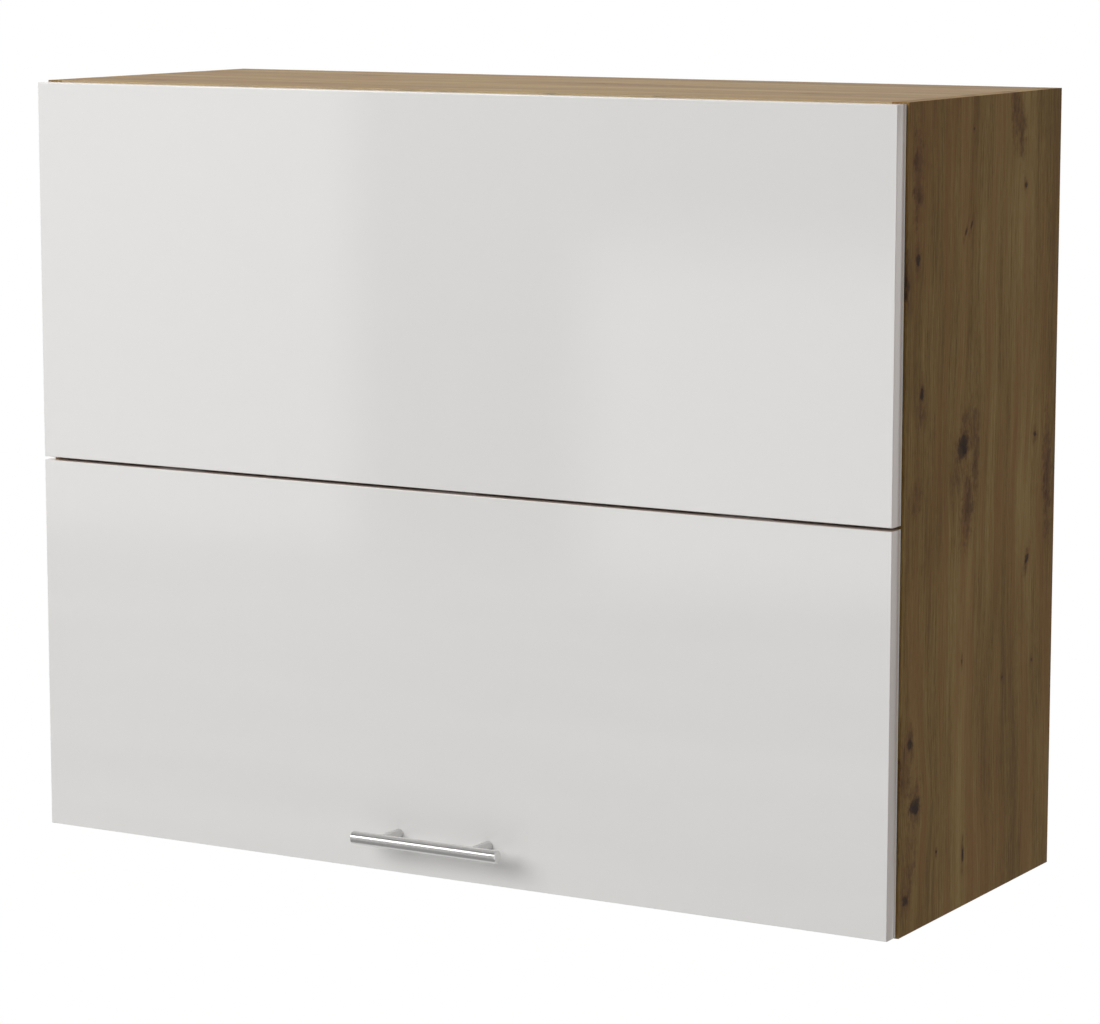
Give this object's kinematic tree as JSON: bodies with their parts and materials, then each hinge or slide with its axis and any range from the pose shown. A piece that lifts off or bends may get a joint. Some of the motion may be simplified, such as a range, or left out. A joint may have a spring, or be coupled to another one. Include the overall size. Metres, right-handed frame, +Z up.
{
  "type": "kitchen wall cabinet",
  "caption": "Wide wall cabinet with oak decor carcass and a glossy white two-part front that folds and lifts up, worked by a steel bar handle.",
  "frame": {"origin": "middle of the cabinet's lower rear edge, on the wall plane", "axes": "+Z up, the front faces -Y, +X to the right seen from the front"},
  "size_m": [0.9, 0.3825, 0.72],
  "materials": {
    "oak_board": "oak decor board with open grain, satin",
    "oak_edging": "thin oak decor edging, satin",
    "white_gloss": "fibreboard core faced on both sides in high gloss white",
    "front_edging": "glossy warm grey edging with a white line at its rear edge",
    "white_back": "thin hardboard with a white coated face",
    "satin_steel": "satin brushed steel",
    "zinc_steel": "bright zinc plated pressed steel",
    "cast_zinc": "nickel plated cast zinc",
    "screw_steel": "zinc plated screws and pins",
    "grey_plastic": "fine matte light grey plastic",
    "spring_steel": "dark oiled spring steel",
    "beech": "plain beech",
    "clear_rubber": "soft translucent silicone"
  },
  "bodies": {
    "carcass": {"back_panel": "white_back", "bottom_panel": "oak_board", "cam_bolts": "screw_steel", "cams": "cast_zinc", "dowels": "beech", "edging_bottom": "oak_edging", "edging_left": "oak_edging", "edging_right": "oak_edging", "edging_shelf": "oak_edging", "edging_top": "oak_edging", "fitting_screws": "screw_steel", "hanger_hook_left": "zinc_steel", "hanger_hook_right": "zinc_steel", "hanger_left": "grey_plastic", "hanger_right": "grey_plastic", "hinge_arm_left": "cast_zinc", "hinge_arm_right": "cast_zinc", "lift_cover_left": "grey_plastic", "lift_cover_right": "grey_plastic", "lift_pivots": "screw_steel", "lift_unit_left": "zinc_steel", "lift_unit_right": "zinc_steel", "shelf": "oak_board", "shelf_pegs": "screw_steel", "side_panel_left": "oak_board", "side_panel_right": "oak_board", "spring_packs": "spring_steel", "top_panel": "oak_board", "wall_plate_left": "zinc_steel", "wall_plate_right": "zinc_steel"},
    "upper_flap": {"upper_front": "white_gloss", "upper_front_edging": "front_edging", "hinge_pins": "screw_steel", "upper_front_screws": "screw_steel", "hinge_cup_left": "cast_zinc", "hinge_cup_right": "cast_zinc", "fold_leaf_upper_left": "zinc_steel", "fold_leaf_upper_middle": "zinc_steel", "fold_leaf_upper_right": "zinc_steel"},
    "lower_flap": {"lower_front": "white_gloss", "lower_front_edging": "front_edging", "fold_pins": "screw_steel", "lower_front_screws": "screw_steel", "handle_bar": "satin_steel", "handle_posts": "satin_steel", "handle_screws": "screw_steel", "bumpers": "clear_rubber", "arm_bracket_left": "zinc_steel", "arm_bracket_right": "zinc_steel", "fold_leaf_lower_left": "zinc_steel", "fold_leaf_lower_middle": "zinc_steel", "fold_leaf_lower_right": "zinc_steel"},
    "left_arm": {"lift_arm_left": "zinc_steel", "arm_rod_left": "zinc_steel", "arm_roller_left": "screw_steel", "clamp_screws_left": "screw_steel"},
    "right_arm": {"lift_arm_right": "zinc_steel", "arm_rod_right": "zinc_steel", "arm_roller_right": "screw_steel", "clamp_screws_right": "screw_steel"}
  },
  "joints": [
    {"name": "flap_lift", "type": "hinge", "parent": "carcass", "child": "upper_flap", "pos_m": [0, -0.337, 0.713], "axis": [-1, 0, 0], "range_deg": [0, 90]},
    {"name": "flap_fold", "type": "hinge", "parent": "upper_flap", "child": "lower_flap", "pos_m": [0, -0.3235, 0.36], "axis": [1, 0, 0], "range_deg": [0, 108]},
    {"name": "left_arm_swing", "type": "hinge", "parent": "carcass", "child": "left_arm", "pos_m": [-0.403, -0.283, 0.628], "axis": [-1, 0, 0], "range_deg": [0, 87.75]},
    {"name": "right_arm_swing", "type": "hinge", "parent": "carcass", "child": "right_arm", "pos_m": [0.403, -0.283, 0.628], "axis": [-1, 0, 0], "range_deg": [0, 87.75]}
  ],
  "couplings": [
    {"joint": "flap_fold", "follows": "flap_lift", "ratio": 1.2},
    {"joint": "left_arm_swing", "follows": "flap_lift", "ratio": 0.975},
    {"joint": "right_arm_swing", "follows": "flap_lift", "ratio": 0.975}
  ]
}
